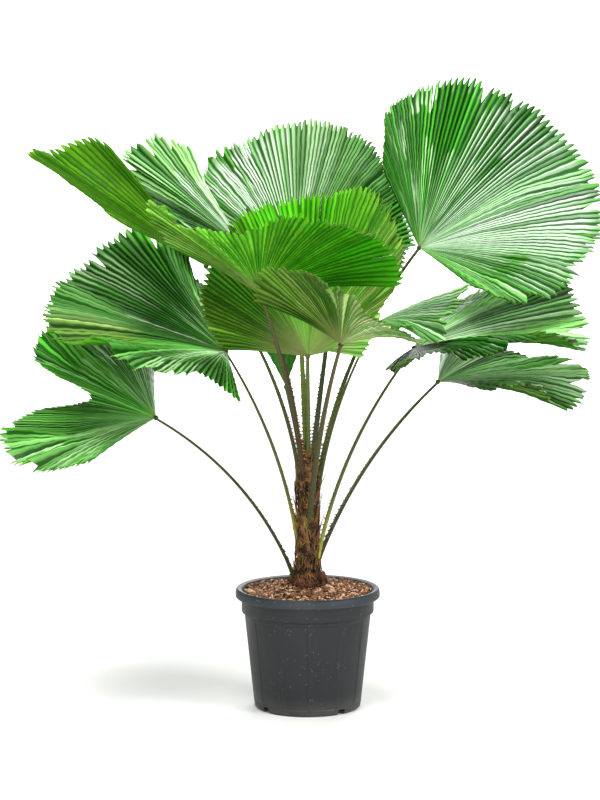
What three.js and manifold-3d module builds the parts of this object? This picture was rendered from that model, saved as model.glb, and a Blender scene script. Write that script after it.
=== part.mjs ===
// Potted ruffled fan palm: a short fibrous trunk in a round nursery pot, with fourteen
// pleated fans, each a thin toothed blade at the end of its own long petiole.
// Millimetres, +Z up. The origin is the centre of the pot's flat underside, -Y is the front.
// A bearing is an angle round the trunk's axis, in degrees: 0 is +X and 90 is +Y.
import * as THREE from "three";
import { mergeVertices } from "three/addons/utils/BufferGeometryUtils.js";
import Module from "manifold-3d";

const wasm = await Module();
wasm.setup();

// Pot, soil and trunk
const clearance = 0.3;
const potHeight = 284;
const potRimRadius = 170;
const potBandRadius = 156;
const potBodyRadius = 149;
const potBaseRadius = 125;
const potWall = 4;
const potFloor = 6;
const lipHeight = 22;
const bandHeight = 34;
const potSides = 40;
const notch = { width: 19, height: 13, depth: 14, bearings: [-141, -51, 39, 129] };
const soilEdge = 275;
const soilTop = 291;
const trunkFootRadius = 40;
const trunkTop = 598;
const trunkSides = 14;

// Petioles
const petioleRootWidth = 13;
const petioleHubWidth = 7.5;
const petioleSteps = 10;
const hubGap = 10;

// Blades
const teeth = 18;
const rows = 3;
const toothCut = 26;
const pleat = 4;
const thicknessShare = 0.0105;
const hubThinness = 0.4;

// Each frond's hub is where its petiole meets the blade. root is the bearing, the distance
// from the axis and the height at which the petiole leaves the trunk, bow lifts the petiole's
// middle as a share of its length, and reach is the length of the longest rib.
// ribs are guide ribs, anticlockwise as seen from the blade's upper side: the bearing and pitch
// at which each leaves the hub, and its length as a share of reach where that isn't 1.
// droop bends each rib down towards its tip.
const fronds = [
  {
    name: "right_top",
    hub: [265, 150, 1074],
    root: [30, 14, 440],
    bow: 0.17,
    reach: 440,
    droop: 8,
    ribs: [
      [-72, -10, 0.78], [-54, -13, 0.9], [-36, 0], [-20, 13], [-8, 25, 1.02],
      [11, 36, 1.04], [24, 52, 1.03], [50, 66], [85, 76, 0.9], [-160, 77, 0.79],
      [-135, 66, 0.7], [-123, 49, 0.62],
    ],
  },
  {
    name: "back_middle",
    hub: [-25, 230, 1021],
    root: [93, 14, 545],
    bow: 0.03,
    reach: 395,
    droop: 8,
    ribs: [
      [-37, 16, 0.76], [-30, 36, 0.82], [0, 61, 0.88], [50, 70, 0.95], [90, 66],
      [125, 60, 0.96], [157, 55, 0.9], [-168, 42, 0.82], [-158, 21, 0.74],
    ],
  },
  {
    name: "front_left",
    hub: [-108, -200, 991],
    root: [-117, 16, 530],
    bow: 0.1,
    reach: 375,
    droop: 14,
    ribs: [
      [-147, 30, 0.7], [-150, 40, 0.94], [-137, 38, 0.98], [-118, 33], [-98, 32],
      [-82, 36], [-68, 36], [-54, 34], [-42, 29], [-35, 21, 1.02], [-33, 11, 0.98],
    ],
  },
  {
    name: "front_middle",
    hub: [72, -330, 889],
    root: [-78, 14, 440],
    bow: 0.12,
    reach: 310,
    droop: 24,
    ribs: [
      [-138, 32, 0.85], [-135, 39, 0.92], [-120, 46], [-103, 45], [-90, 37],
      [-78, 26], [-52, 17, 0.95],
    ],
  },
  {
    name: "middle",
    hub: [0, -40, 834],
    root: [-90, 8, 560],
    bow: 0.02,
    reach: 400,
    droop: 8,
    ribs: [
      [-170, 8, 0.52], [-166, 27, 0.7], [-160, 44, 0.82], [-165, 64, 0.93],
      [140, 78, 0.93], [60, 76, 0.97], [0, 72, 1.04], [5, 61, 0.97], [12, 45, 0.8],
      [18, 25, 0.42], [28, 10, 0.3],
    ],
  },
  {
    name: "left_top",
    hub: [-234, -60, 1045],
    root: [-160, 16, 530],
    bow: 0.14,
    reach: 460,
    droop: 3,
    ribs: [
      [118, 13, 0.5], [138, 20, 0.62], [154, 28, 0.84], [166, 32], [-172, 35, 1.05],
      [-151, 35, 1.04], [-146, 39, 1.01], [-141, 44, 0.96], [-136, 46, 0.9],
    ],
  },
  {
    name: "left_low",
    hub: [-352, -50, 692],
    root: [-173, 28, 306],
    bow: 0.17,
    reach: 385,
    droop: 10,
    ribs: [
      [95, 21, 0.7], [104, 29, 0.82], [122, 33, 0.93], [140, 34], [156, 34, 0.94],
      [175, 31, 0.86], [-177, 27, 0.7], [-170, 20, 0.42], [-166, 7, 0.78],
      [-160, -2, 0.97], [-156, -6, 1.01], [-142, -6], [-128, -8, 0.96],
      [-116, -9, 0.85],
    ],
  },
  {
    name: "left_middle",
    hub: [-190, -20, 843],
    root: [-165, 14, 320],
    bow: 0.12,
    reach: 440,
    droop: 10,
    ribs: [
      [99, 29, 0.62], [116, 38, 0.78], [134, 44, 0.88], [147, 37, 0.98], [158, 29],
      [168, 22], [-163, 16], [-138, 11], [-116, 6, 0.92], [-100, 4, 0.86],
      [-90, -3, 0.8], [-82, -11, 0.75],
    ],
  },
  {
    name: "left_back",
    hub: [-151, 30, 1083],
    root: [152, 14, 540],
    bow: 0.1,
    reach: 370,
    droop: 12,
    ribs: [
      [129, 42, 0.7], [131, 46, 0.86], [139, 48, 0.94], [146, 46], [155, 43],
      [159, 40, 1.02], [157, 34, 1.02], [152, 28], [150, 22, 0.95], [152, 14, 0.88],
    ],
  },
  {
    name: "left_inner",
    hub: [-51, 100, 747],
    root: [122, 12, 565],
    bow: 0.02,
    reach: 330,
    droop: 12,
    ribs: [
      [78, 30, 0.6], [80, 60, 0.8], [100, 76], [116, 60, 0.8], [110, 30, 0.6],
    ],
  },
  {
    name: "right_back",
    hub: [73, 200, 1030],
    root: [60, 14, 545],
    bow: 0.03,
    reach: 370,
    droop: 10,
    ribs: [
      [57, -1, 0.85], [56, 14, 0.94], [64, 30], [74, 45], [88, 51], [105, 48, 0.93],
      [115, 31, 0.85],
    ],
  },
  {
    name: "right_inner",
    hub: [160, 20, 908],
    root: [-4, 14, 415],
    bow: 0.12,
    reach: 330,
    droop: 12,
    ribs: [
      [-104, 5, 0.7], [-92, 5, 0.78], [-80, 6, 0.82], [-68, 8, 0.86],
      [-60, 13, 0.94], [-55, 18], [-49, 24, 1.05],
    ],
  },
  {
    name: "right_low",
    hub: [245, -60, 856],
    root: [-22, 14, 300],
    bow: 0.13,
    reach: 410,
    droop: 14,
    ribs: [
      [-106, 0, 0.66], [-101, -4, 0.74], [-96, -3, 0.78], [-90, 3, 0.82],
      [-84, 6, 0.86], [-75, 8, 0.84], [-63, 12, 0.93], [-46, 12], [-23, 9, 1.02],
      [7, 15], [13, 22], [19, 26], [42, 24], [58, 22, 0.95], [71, 19, 0.85],
      [82, 11, 0.65],
    ],
  },
  {
    name: "right_lower",
    hub: [309, 100, 759],
    root: [20, 14, 318],
    bow: 0.13,
    reach: 400,
    droop: 14,
    ribs: [
      [-77, 8, 0.66], [-70, 7, 0.78], [-63, 7, 0.9], [-54, 8, 0.88], [-48, 5, 0.94],
      [-44, 4, 1.02], [-33, 10, 0.99], [-10, 11, 0.9], [20, 9, 0.9], [33, 13, 0.86],
      [43, 19, 0.68], [41, 23, 0.8], [44, 28], [60, 31], [73, 27, 0.9],
      [86, 17, 0.75],
    ],
  },
];

const materials = {
  pot: new THREE.MeshStandardMaterial({ color: 0x34383a, roughness: 0.55, metalness: 0 }),
  soil: new THREE.MeshStandardMaterial({ color: 0x5a3a28, roughness: 1, metalness: 0 }),
  trunk: new THREE.MeshStandardMaterial({ color: 0x4a3222, roughness: 0.95, metalness: 0 }),
  petiole: new THREE.MeshStandardMaterial({ color: 0x5f6a35, roughness: 0.5, metalness: 0 }),
  blade: new THREE.MeshStandardMaterial({ color: 0x3f8f2f, roughness: 0.4, metalness: 0 }),
};

const up = new THREE.Vector3(0, 0, 1);
const radians = THREE.MathUtils.degToRad;

// A geometry as a solid for joining and cutting, and a solid back as a geometry.
function toSolid(geometry) {
  const bare = geometry.clone();
  for (const name of Object.keys(bare.attributes)) {
    if (name !== "position") bare.deleteAttribute(name);
  }
  const merged = mergeVertices(bare, 1e-3);
  return new wasm.Manifold(
    new wasm.Mesh({
      numProp: 3,
      vertProperties: merged.attributes.position.array,
      triVerts: new Uint32Array(merged.index.array),
    }),
  );
}

function toGeometry(solid) {
  const { vertProperties, triVerts } = solid.getMesh();
  const geometry = new THREE.BufferGeometry();
  geometry.setAttribute("position", new THREE.BufferAttribute(vertProperties, 3));
  geometry.setIndex(new THREE.BufferAttribute(triVerts, 1));
  geometry.computeVertexNormals();
  return geometry;
}

// A solid of revolution about the Z axis from [radius, height] points, bottom to top.
function turned(profile, sides) {
  const points = profile.map(([radius, height]) => new THREE.Vector2(radius, height));
  return new THREE.LatheGeometry(points, sides).rotateX(Math.PI / 2);
}

function heading(bearing, pitch) {
  const level = Math.cos(radians(pitch));
  return new THREE.Vector3(
    level * Math.cos(radians(bearing)),
    level * Math.sin(radians(bearing)),
    Math.sin(radians(pitch)),
  );
}

// The pot: floor, tapered wall, a wider band and a rounded lip, with notches in its foot.
function potGeometry() {
  const bandFoot = potHeight - lipHeight - bandHeight;
  const lipFoot = potHeight - lipHeight;
  const wallAt = potBodyRadius - potWall;
  let solid = toSolid(
    turned(
      [
        [0, 0],
        [potBaseRadius - 3, 0],
        [potBaseRadius, 3],
        [potBodyRadius, bandFoot - 3],
        [potBandRadius - 1, bandFoot],
        [potBandRadius, lipFoot],
        [potRimRadius - 1, lipFoot],
        [potRimRadius, lipFoot + 4],
        [potRimRadius - 1, potHeight - 3],
        [potRimRadius - 5, potHeight],
        [potBandRadius - potWall, potHeight - 1],
        [potBandRadius - potWall, bandFoot + 4],
        [wallAt, bandFoot],
        [potBaseRadius - potWall, potFloor],
        [0, potFloor],
      ],
      potSides,
    ),
  );
  for (const bearing of notch.bearings) {
    const cut = new THREE.BoxGeometry(notch.depth * 2, notch.width, notch.height * 2)
      .translate(potBaseRadius, 0, 0)
      .rotateZ(radians(bearing));
    solid = solid.subtract(toSolid(cut));
  }
  return toGeometry(solid);
}

// The soil fills the pot to below its rim and rises a little to the foot of the trunk.
function soilGeometry() {
  const inner = potBandRadius - potWall - clearance;
  const bandFoot = potHeight - lipHeight - bandHeight;
  return turned(
    [
      [0, potFloor + clearance],
      [potBaseRadius - potWall - clearance - 1, potFloor + clearance],
      [potBodyRadius - potWall - clearance - 1, bandFoot],
      [inner, bandFoot + 5],
      [inner, soilEdge],
      [inner * 0.62, soilEdge + 5],
      [trunkFootRadius + 6, soilTop],
      [0, soilTop],
    ],
    potSides,
  );
}

// The trunk flares at its foot, narrows, and swells a little under the crown.
function trunkProfile(margin) {
  const foot = soilTop + clearance;
  return [
    [0, foot],
    [trunkFootRadius + margin, foot],
    [trunkFootRadius - 4 + margin, foot + 18],
    [30 + margin, foot + 38],
    [25 + margin, foot + 90],
    [24 + margin, foot + 190],
    [26 + margin, trunkTop - 45],
    [25 + margin, trunkTop - 10 + margin],
    [18 + margin, trunkTop + margin],
    [0, trunkTop + margin],
  ];
}

// The petiole's centre line: out of the trunk, with its middle lifted, to the hub.
function petioleCurve(frond) {
  const [bearing, distance, height] = frond.root;
  const root = heading(bearing, 0).multiplyScalar(distance).setZ(height);
  const hub = new THREE.Vector3(...frond.hub);
  const chord = hub.clone().sub(root);
  const along = chord.clone().normalize();
  const lift = up.clone().addScaledVector(along, -up.dot(along)).normalize();
  const middle = root.clone().addScaledVector(chord, 0.5);
  middle.addScaledVector(lift, frond.bow * chord.length());
  return new THREE.QuadraticBezierCurve3(root, middle, hub);
}

// A petiole is flat above and round below, tapers towards the hub and ends in a knob there.
// Its foot is cut clear of the trunk.
function petioleGeometry(frond, trunkRoom) {
  const section = new THREE.Shape();
  section.moveTo(1, 0.45);
  section.lineTo(-1, 0.45);
  section.lineTo(-0.86, -0.35);
  section.lineTo(-0.3, -0.8);
  section.lineTo(0.3, -0.8);
  section.lineTo(0.86, -0.35);
  const stalk = new THREE.ExtrudeGeometry(section, {
    depth: 1,
    steps: petioleSteps,
    bevelEnabled: false,
  });
  const curve = petioleCurve(frond);
  const across = heading(frond.root[0] + 90, 0);
  const spots = stalk.attributes.position;
  for (let i = 0; i < spots.count; i += 1) {
    const share = spots.getZ(i);
    const half = THREE.MathUtils.lerp(petioleRootWidth, petioleHubWidth, share) / 2;
    const along = curve.getTangent(share);
    const side = across.clone().addScaledVector(along, -across.dot(along)).normalize();
    const top = along.clone().cross(side);
    const spot = curve
      .getPoint(share)
      .addScaledVector(side, -spots.getX(i) * half)
      .addScaledVector(top, -spots.getY(i) * half);
    spots.setXYZ(i, spot.x, spot.y, spot.z);
  }
  const knob = new THREE.SphereGeometry(hubGap - 0.4, 8, 6).translate(...frond.hub);
  const solid = toSolid(stalk).add(toSolid(knob)).subtract(trunkRoom);
  return toGeometry(solid);
}

// The blade's rule: ribs at even steps along a smooth curve through the guide ribs' tips.
// Each is a vector from the hub whose length is the rib's share of reach.
function ribVectors(frond, count) {
  const guides = frond.ribs.map(([bearing, pitch, share = 1]) =>
    heading(bearing, pitch).multiplyScalar(share),
  );
  const margin = new THREE.CatmullRomCurve3(guides, false, "catmullrom", 0.5);
  return Array.from({ length: count + 1 }, (_, i) => margin.getPointAt(i / count));
}

// A point on a rib: the rib is an arc that bends down, more so the more level it lies.
function ribPoint(frond, direction, distance) {
  const level = Math.max(Math.hypot(direction.x, direction.y), 1e-3);
  const bend = (radians(frond.droop) * level) / frond.reach;
  const down = direction.clone().multiplyScalar(direction.z).sub(up).divideScalar(level);
  return new THREE.Vector3(...frond.hub)
    .addScaledVector(direction, Math.sin(bend * distance) / bend)
    .addScaledVector(down, (1 - Math.cos(bend * distance)) / bend);
}

// A blade is a fan of pleats from just off the hub to a toothed margin, given its thickness
// to either side of the middle surface.
function bladeGeometry(frond) {
  const columns = teeth * 2;
  const ribs = ribVectors(frond, columns);
  const half = (frond.reach * thicknessShare) / 2;
  const grid = ribs.map((rib, i) => {
    const direction = rib.clone().normalize();
    const before = ribs[Math.max(i - 1, 0)];
    const after = ribs[Math.min(i + 1, columns)];
    const fold = before.clone().cross(after).normalize();
    const isTip = i % 2 === 1;
    const share = rib.length();
    const length = frond.reach * share - (isTip ? 0 : toothCut * share ** 2);
    return Array.from({ length: rows + 1 }, (_, j) => {
      const distance = THREE.MathUtils.lerp(hubGap, length, (j / rows) ** 0.9);
      const lift = ((isTip ? pleat : -pleat) * distance) / frond.reach;
      return ribPoint(frond, direction, distance).addScaledVector(fold, lift);
    });
  });

  // The two skins, offset along the surface's own normals.
  const spots = [];
  for (const side of [1, -1]) {
    for (let i = 0; i <= columns; i += 1) {
      for (let j = 0; j <= rows; j += 1) {
        const across = grid[Math.min(i + 1, columns)][j].clone();
        across.sub(grid[Math.max(i - 1, 0)][j]);
        const along = grid[i][Math.min(j + 1, rows)].clone().sub(grid[i][Math.max(j - 1, 0)]);
        const normal = along.cross(across).normalize();
        const thin = j === 0 ? hubThinness : 1;
        const spot = grid[i][j].clone().addScaledVector(normal, side * half * thin);
        spots.push(spot.x, spot.y, spot.z);
      }
    }
  }

  const width = rows + 1;
  const skin = (columns + 1) * width;
  const faces = [];
  const quad = (a, b, c, d) => faces.push(a, b, c, a, c, d);
  for (let i = 0; i < columns; i += 1) {
    for (let j = 0; j < rows; j += 1) {
      const a = i * width + j;
      quad(a, a + 1, a + width + 1, a + width);
      quad(skin + a, skin + a + width, skin + a + width + 1, skin + a + 1);
    }
    const hubSide = i * width;
    const tipSide = hubSide + rows;
    quad(hubSide, hubSide + width, skin + hubSide + width, skin + hubSide);
    quad(tipSide, skin + tipSide, skin + tipSide + width, tipSide + width);
  }
  for (let j = 0; j < rows; j += 1) {
    const last = columns * width + j;
    quad(j, skin + j, skin + j + 1, j + 1);
    quad(last, last + 1, skin + last + 1, skin + last);
  }
  const geometry = new THREE.BufferGeometry();
  geometry.setAttribute("position", new THREE.Float32BufferAttribute(spots, 3));
  geometry.setIndex(faces);
  geometry.computeVertexNormals();
  return geometry;
}

function addPiece(group, name, geometry, material) {
  const mesh = new THREE.Mesh(geometry, material);
  mesh.name = name;
  group.add(mesh);
}

const palm = new THREE.Group();
palm.name = "potted_fan_palm";
addPiece(palm, "pot", potGeometry(), materials.pot);
addPiece(palm, "soil", soilGeometry(), materials.soil);
addPiece(palm, "trunk", turned(trunkProfile(0), trunkSides), materials.trunk);

const trunkRoom = toSolid(turned(trunkProfile(clearance), trunkSides));
for (const frond of fronds) {
  addPiece(palm, `petiole_${frond.name}`, petioleGeometry(frond, trunkRoom), materials.petiole);
  addPiece(palm, `blade_${frond.name}`, bladeGeometry(frond), materials.blade);
}

export default palm;
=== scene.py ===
import math

import bmesh
import bpy
import numpy as np
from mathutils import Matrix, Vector


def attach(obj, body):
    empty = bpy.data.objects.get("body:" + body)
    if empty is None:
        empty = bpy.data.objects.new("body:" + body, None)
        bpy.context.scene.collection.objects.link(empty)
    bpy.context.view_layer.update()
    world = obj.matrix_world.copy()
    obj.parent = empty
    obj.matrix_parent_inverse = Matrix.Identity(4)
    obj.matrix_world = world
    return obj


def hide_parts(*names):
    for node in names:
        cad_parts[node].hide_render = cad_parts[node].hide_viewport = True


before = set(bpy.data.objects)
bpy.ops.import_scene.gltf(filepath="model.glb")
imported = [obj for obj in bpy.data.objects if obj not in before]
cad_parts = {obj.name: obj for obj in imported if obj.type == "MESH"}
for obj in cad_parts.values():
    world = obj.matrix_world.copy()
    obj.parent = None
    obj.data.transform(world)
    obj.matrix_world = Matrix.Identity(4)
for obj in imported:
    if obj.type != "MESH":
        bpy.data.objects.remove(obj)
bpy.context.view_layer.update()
print("frame loaded:", len(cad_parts), "solids")

view = {
    "place": (-0.018, -6.0, 1.44),
    "pitch": -6.77,      # degrees below the horizon
    "lens": 116.4,       # on a 36 mm sensor's long side
}


def addCamera():
    cameraData = bpy.data.cameras.new("camera")
    cameraData.lens = view["lens"]
    cameraData.sensor_fit = "AUTO"
    camera = bpy.data.objects.new("camera", cameraData)
    camera.location = view["place"]
    camera.rotation_euler = (math.radians(90 + view["pitch"]), 0, 0)
    bpy.context.scene.collection.objects.link(camera)
    bpy.context.scene.camera = camera


addCamera()


# Shader maths: a Field is a socket that Python's operators work on.
class Field:
    def __init__(self, finish, socket):
        self.finish = finish
        self.socket = socket

    def math(self, operation, *values):
        return self.finish.node("ShaderNodeMath", {"operation": operation}, dict(enumerate(values)))

    def __add__(self, other):
        return self.math("ADD", self, other)

    def __radd__(self, other):
        return self.math("ADD", other, self)

    def __sub__(self, other):
        return self.math("SUBTRACT", self, other)

    def __rsub__(self, other):
        return self.math("SUBTRACT", other, self)

    def __mul__(self, other):
        return self.math("MULTIPLY", self, other)

    def __rmul__(self, other):
        return self.math("MULTIPLY", other, self)

    def sine(self):
        return self.math("SINE", self)

    def fraction(self):
        return self.math("FRACT", self)

    def size(self):
        return self.math("ABSOLUTE", self)

    def ease(self, low, high):   # 0 below low, 1 above high, smooth between
        settings = {"interpolation_type": "SMOOTHSTEP"}
        return self.finish.node("ShaderNodeMapRange", settings, {0: self, 1: low, 2: high})


class Finish:
    def __init__(self, name, **constants):
        self.material = bpy.data.materials.new(name)
        self.material.use_nodes = True
        self.tree = self.material.node_tree
        self.shader = self.tree.nodes["Principled BSDF"]
        for socket, value in constants.items():
            self.shader.inputs[socket.replace("_", " ")].default_value = value

    def feed(self, socket, value):
        if isinstance(value, Field):
            self.tree.links.new(value.socket, socket)
        else:
            socket.default_value = value

    def node(self, kind, settings=None, sockets=None, out=0):
        made = self.tree.nodes.new(kind)
        for key, value in (settings or {}).items():
            setattr(made, key, value)
        for key, value in (sockets or {}).items():
            self.feed(made.inputs[key], value)
        return Field(self, made.outputs[out])

    def set(self, socket, value):
        self.feed(self.shader.inputs[socket], value)

    def place(self):
        return self.node("ShaderNodeTexCoord", out=3)

    def parts(self, vector):
        made = self.node("ShaderNodeSeparateXYZ", sockets={0: vector})
        return [Field(self, made.socket.node.outputs[i]) for i in range(3)]

    def join(self, x, y, z):
        return self.node("ShaderNodeCombineXYZ", sockets={0: x, 1: y, 2: z})

    def noise(self, vector, scale, detail=2.0, roughness=0.5):
        sockets = {"Vector": vector, "Scale": scale, "Detail": detail, "Roughness": roughness}
        return self.node("ShaderNodeTexNoise", sockets=sockets)

    def cells(self, vector, scale):
        return self.node("ShaderNodeTexVoronoi", sockets={"Vector": vector, "Scale": scale})

    def mix(self, factor, a, b):
        return self.node("ShaderNodeMix", {"data_type": "RGBA"}, {0: factor, 6: a, 7: b}, out=2)

    def tint(self, colour, *shares):   # a share of each channel
        settings = {"data_type": "RGBA", "blend_type": "MULTIPLY"}
        return self.node("ShaderNodeMix", settings, {0: 1.0, 6: colour, 7: (*shares, 1.0)}, out=2)

    def wear(self, share, dark, light, roughness, grain):   # a dull mottled skin
        self.set("Base Color", self.mix(share, paint(*dark), paint(*light)))
        self.set("Roughness", roughness)
        self.bump(grain, 0.0006)

    def bump(self, height, depth, strength=1.0):
        sockets = {"Height": height, "Distance": depth, "Strength": strength}
        self.set("Normal", self.node("ShaderNodeBump", sockets=sockets))


def linear(red, green, blue):
    shares = [channel / 255 for channel in (red, green, blue)]
    return tuple(s / 12.92 if s <= 0.04045 else ((s + 0.055) / 1.055) ** 2.4 for s in shares)


def paint(red, green, blue):
    return (*linear(red, green, blue), 1.0)


# A mesh from arrays of points and of faces, which all have as many corners.
def meshPiece(name, points, faces, materials, numbers=None, smoothAngle=None):
    mesh = bpy.data.meshes.new(name)
    corners = faces.shape[1]
    mesh.vertices.add(len(points))
    mesh.vertices.foreach_set("co", np.ascontiguousarray(points, np.float32).ravel())
    mesh.loops.add(faces.size)
    mesh.loops.foreach_set("vertex_index", np.ascontiguousarray(faces, np.int32).ravel())
    mesh.polygons.add(len(faces))
    mesh.polygons.foreach_set("loop_start", np.arange(len(faces), dtype=np.int32) * corners)
    if numbers is not None:
        mesh.polygons.foreach_set("material_index", np.ascontiguousarray(numbers, np.int32))
    mesh.update(calc_edges=True)
    for material in materials:
        mesh.materials.append(material)
    piece = bpy.data.objects.new(name, mesh)
    bpy.context.scene.collection.objects.link(piece)
    if smoothAngle is not None:
        pickOnly(piece)
        bpy.ops.object.shade_smooth_by_angle(angle=math.radians(smoothAngle))
    return piece


# The faces of one small shape, again for each of many copies in one mesh.
def repeated(faces, copies, points):
    starts = np.arange(copies)[:, None, None] * points
    return (np.array(faces)[None] + starts).reshape(-1, len(faces[0]))


# The triangles of a closed tube: rings of points, and a fan over each end.
def tubeFaces(rings, sides):
    faces = []
    for ring in range(rings - 1):
        for side in range(sides):
            low = ring * sides + side
            beside = ring * sides + (side + 1) % sides
            faces.append([low, beside, beside + sides])
            faces.append([low, beside + sides, low + sides])
    end = (rings - 1) * sides
    for side in range(1, sides - 1):
        faces.append([0, side + 1, side])
        faces.append([end, end + side, end + side + 1])
    return np.array(faces)


def unit(vectors):
    return vectors / np.maximum(np.linalg.norm(vectors, axis=-1, keepdims=True), 1e-12)


def addTones(mesh, tones):
    filled = np.concatenate([tones, np.ones((*tones.shape[:-1], 1))], -1)
    layer = mesh.color_attributes.new("tone", "FLOAT_COLOR", "POINT")
    layer.data.foreach_set("color", filled.astype(np.float32).ravel())


def pickOnly(piece):
    for other in bpy.context.selected_objects:
        other.select_set(False)
    piece.select_set(True)
    bpy.context.view_layer.objects.active = piece


def dress(piece, material, smoothAngle):
    pickOnly(piece)
    bpy.ops.object.shade_smooth_by_angle(angle=math.radians(smoothAngle))
    piece.data.materials.clear()
    piece.data.materials.append(material)


def settle(piece, body, node):
    pickOnly(piece)
    bpy.ops.object.transform_apply(location=True, rotation=True, scale=True)
    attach(piece, body)
    if node:
        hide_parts(node)


def startEdit(piece, action="DESELECT"):
    pickOnly(piece)
    bpy.ops.object.mode_set(mode="EDIT")
    bpy.ops.mesh.select_all(action=action)


# A flat round face, picked in edit mode and ready to be drawn out.
def startRound(name, sides, radius, height):
    bpy.ops.object.select_all(action="DESELECT")
    bpy.ops.mesh.primitive_circle_add(
        vertices=sides, radius=radius, fill_type="NGON", location=(0, 0, height)
    )
    piece = bpy.context.object
    piece.name = name
    bpy.ops.object.transform_apply(location=True, rotation=True, scale=True)
    startEdit(piece, "SELECT")
    return piece


# Faces or edges picked by a test, in edit mode.
def pick(piece, kind, wanted):
    shape = bmesh.from_edit_mesh(piece.data)
    bpy.ops.mesh.select_all(action="DESELECT")
    for part in getattr(shape, kind):
        if wanted(part):
            part.select_set(True)
    bmesh.update_edit_mesh(piece.data)


def applyModifier(piece, kind, **settings):
    pickOnly(piece)
    modifier = piece.modifiers.new(kind.lower(), kind)
    for key, value in settings.items():
        setattr(modifier, key, value)
    bpy.ops.object.modifier_apply(modifier=modifier.name)


# The round face that is picked is drawn through rings, each a radius and a height.
def drawRings(start, rings):
    radius, height = start
    for nextRadius, nextHeight in rings:
        rise = {"value": (0, 0, nextHeight - height)}
        bpy.ops.mesh.extrude_region_move(TRANSFORM_OT_translate=rise)
        share = nextRadius / radius
        centre = (0, 0, nextHeight)
        bpy.ops.transform.resize(value=(share, share, 1), center_override=centre)
        radius, height = nextRadius, nextHeight


# The pot
pot = {
    "foot": 0.121,                       # radius of the flat underside
    "base": 0.125,
    "lipFoot": 0.262,
    "profile": [                         # up the outside, over the lip and down the inside
        (0.1250, 0.0040), (0.1265, 0.0140), (0.1482, 0.2180), (0.1490, 0.2250), (0.1550, 0.2280),
        (0.1558, 0.2310), (0.1560, 0.2610), (0.1680, 0.2620), (0.1698, 0.2640), (0.1700, 0.2740),
        (0.1688, 0.2800), (0.1655, 0.2836), (0.1625, 0.2834), (0.1560, 0.2810), (0.1520, 0.2760),
        (0.1520, 0.2320), (0.1450, 0.2280), (0.1210, 0.0060),
    ],
    "sides": 192,
    "panels": 12,                        # the wall stands back between slim upright ribs
    "panelHeights": (0.10, 0.14),        # a height on the wall's one tall band of faces
    "panelInset": 0.0022,
    "panelDepth": 0.0013,
    "ribSides": 2,
    "notch": (0.019, 0.013, 0.014),      # width, height and depth of a drain notch
    "notchBearings": (-141, -51, 39, 129),
    "notchRound": 0.003,
}


def potFinish():
    finish = Finish("potPlastic", Roughness=0.5, Specular_IOR_Level=0.38)
    place = finish.place()
    across, deep, height = finish.parts(place)
    specks = 1 - finish.cells(place, 260.0).ease(0.10, 0.24)
    rare = finish.noise(place, 90.0).ease(0.60, 0.66)
    cloud = finish.noise(place, 9.0, 3.0)
    drawn = finish.noise(finish.join(across * 60.0, deep * 60.0, height * 4.0), 1.0, 3.0)
    rim = height.ease(pot["lipFoot"] - 0.004, pot["lipFoot"] + 0.004)
    wall = finish.mix(cloud, paint(9, 12, 15), paint(20, 24, 28))
    wall = finish.mix(rim * 0.7, wall, paint(38, 46, 52))
    dust = (1 - height.ease(0.0, 0.05)) * cloud
    wall = finish.mix(dust * 0.35, wall, paint(120, 118, 110))
    finish.set("Base Color", finish.mix(specks * rare * 0.7, wall, paint(170, 172, 170)))
    finish.set("Roughness", 0.42 + cloud * 0.2)
    finish.bump(cloud * 0.2 + drawn * 0.5, 0.0004, 0.5)
    return finish.material


def makePot():
    piece = startRound("pot_shell", pot["sides"], pot["foot"], 0.0)
    drawRings((pot["foot"], 0.0), pot["profile"])
    perPanel = pot["sides"] // pot["panels"]
    low, high = pot["panelHeights"]

    def inPanel(face, number):
        spot = face.calc_center_median()
        turn = (math.atan2(spot.y, spot.x) / math.tau * pot["sides"]) % pot["sides"]
        outside = face.normal.x * spot.x + face.normal.y * spot.y > 0
        within = int(turn) // perPanel == number and int(turn) % perPanel >= pot["ribSides"]
        return outside and low < spot.z < high and within

    for number in range(pot["panels"]):
        pick(piece, "faces", lambda face: inPanel(face, number))
        bpy.ops.mesh.inset(
            thickness=pot["panelInset"], depth=-pot["panelDepth"], use_even_offset=True
        )
    bpy.ops.object.mode_set(mode="OBJECT")

    width, height, depth = pot["notch"]
    for bearing in pot["notchBearings"]:
        turn = math.radians(bearing)
        bpy.ops.object.select_all(action="DESELECT")
        spot = (pot["base"] * math.cos(turn), pot["base"] * math.sin(turn), 0)
        bpy.ops.mesh.primitive_cube_add(size=1, location=spot, rotation=(0, 0, turn))
        cutter = bpy.context.object
        cutter.scale = (depth * 2, width, height * 2)
        bpy.ops.object.transform_apply(location=True, rotation=True, scale=True)
        applyModifier(cutter, "BEVEL", width=pot["notchRound"], segments=3)
        applyModifier(piece, "BOOLEAN", object=cutter, operation="DIFFERENCE", solver="EXACT")
        bpy.data.objects.remove(cutter)
    dress(piece, potFinish(), 28)
    settle(piece, "root", "pot")


makePot()
print("pot made")


# The soil: a low mound under loose bark chips
soil = {
    "edge": 0.275,
    "crown": 0.289,
    "depth": 0.03,
    "radius": 0.1515,
    "sides": 120,
    "rings": 44,
    "spread": 0.985,                     # share of the radius that rings and chips reach
    "chips": 7200,
    "chipSize": (3.0, 0.00075, 0.0011),  # gamma shape and scale, and the least half length
    "chipKinds": (0.53, 0.23, 0.24),     # shares of brown, pale and dark chips
    "seed": 11,
}


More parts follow.
